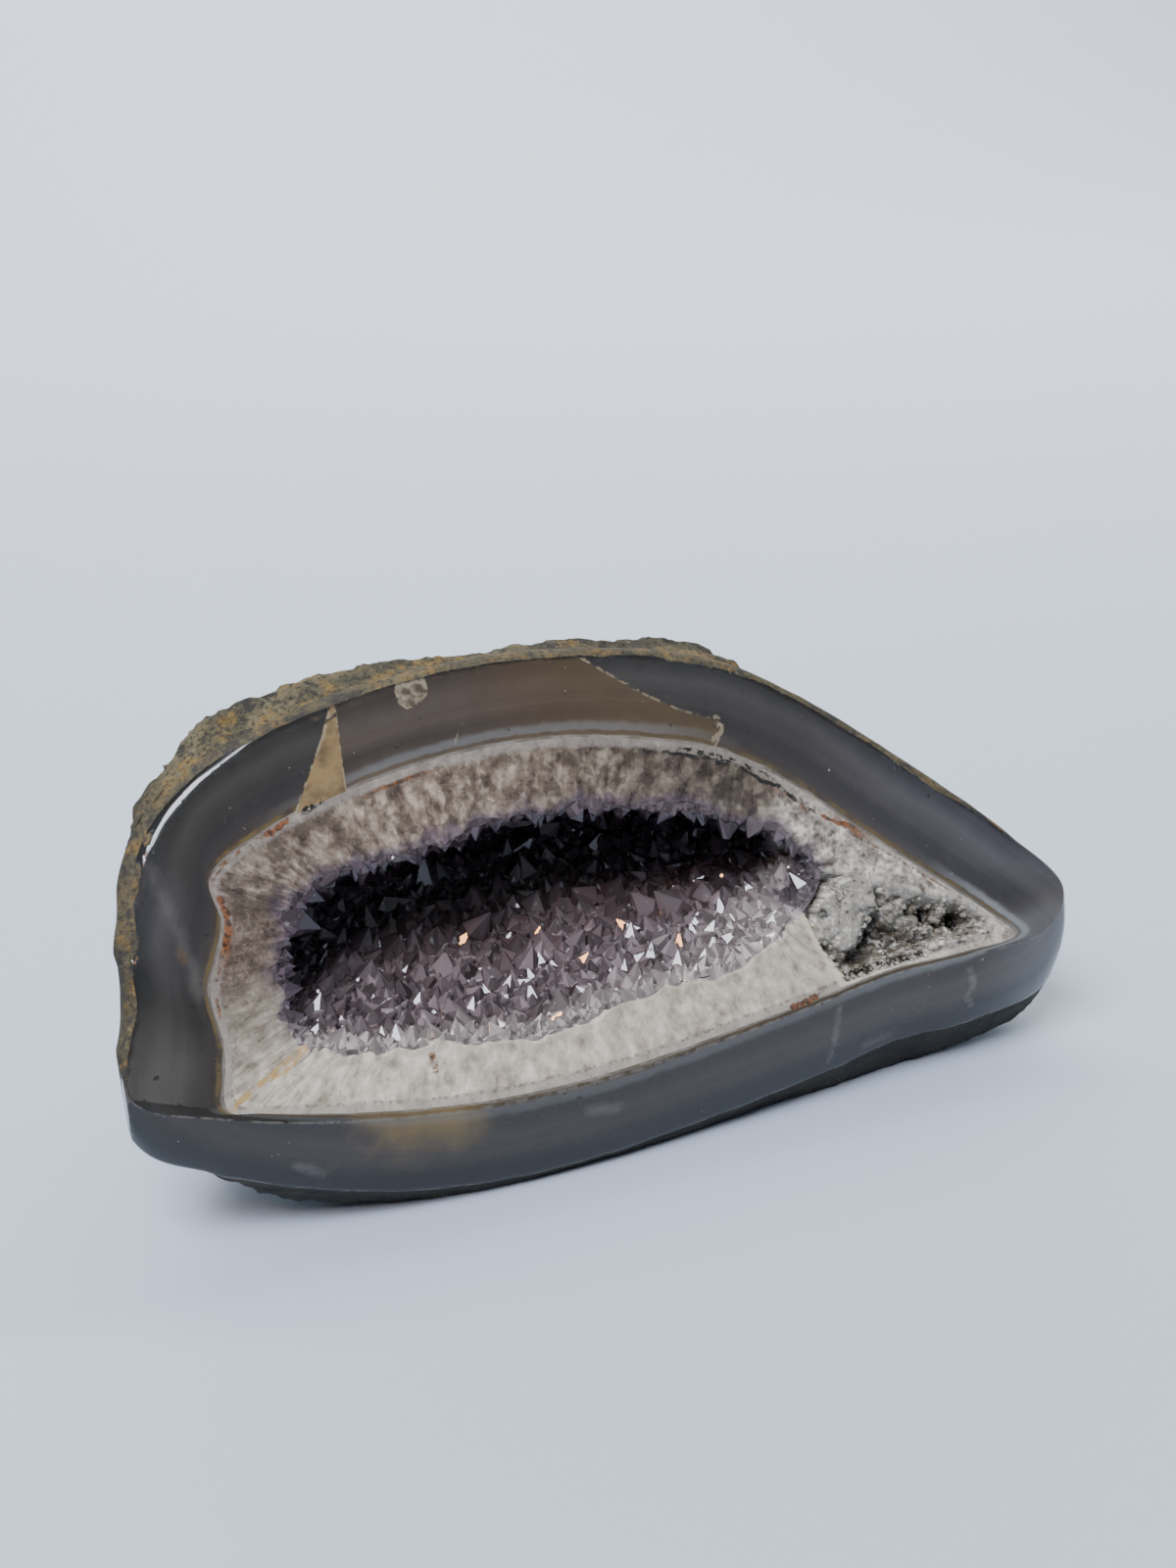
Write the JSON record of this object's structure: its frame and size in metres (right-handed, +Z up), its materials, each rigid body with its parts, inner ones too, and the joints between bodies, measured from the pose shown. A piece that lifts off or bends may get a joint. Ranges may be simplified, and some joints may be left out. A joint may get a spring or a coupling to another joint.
{
  "type": "geode half",
  "caption": "Half of an agate geode with a sawn, polished face, a rough natural back and a hollow lined with pale violet quartz points.",
  "frame": {"origin": "on the ground, under the centre of the stone's box", "axes": "+X along the stone, +Y from the polished face to the rough back, +Z up"},
  "size_m": [0.2703, 0.1251, 0.1263],
  "materials": {
    "agate": "polished on the sawn faces, rough natural rind behind",
    "quartz_points": "glassy natural crystal faces"
  },
  "bodies": {
    "root": {"geode_shell": "agate", "crystal_crust": "quartz_points"}
  },
  "joints": []
}
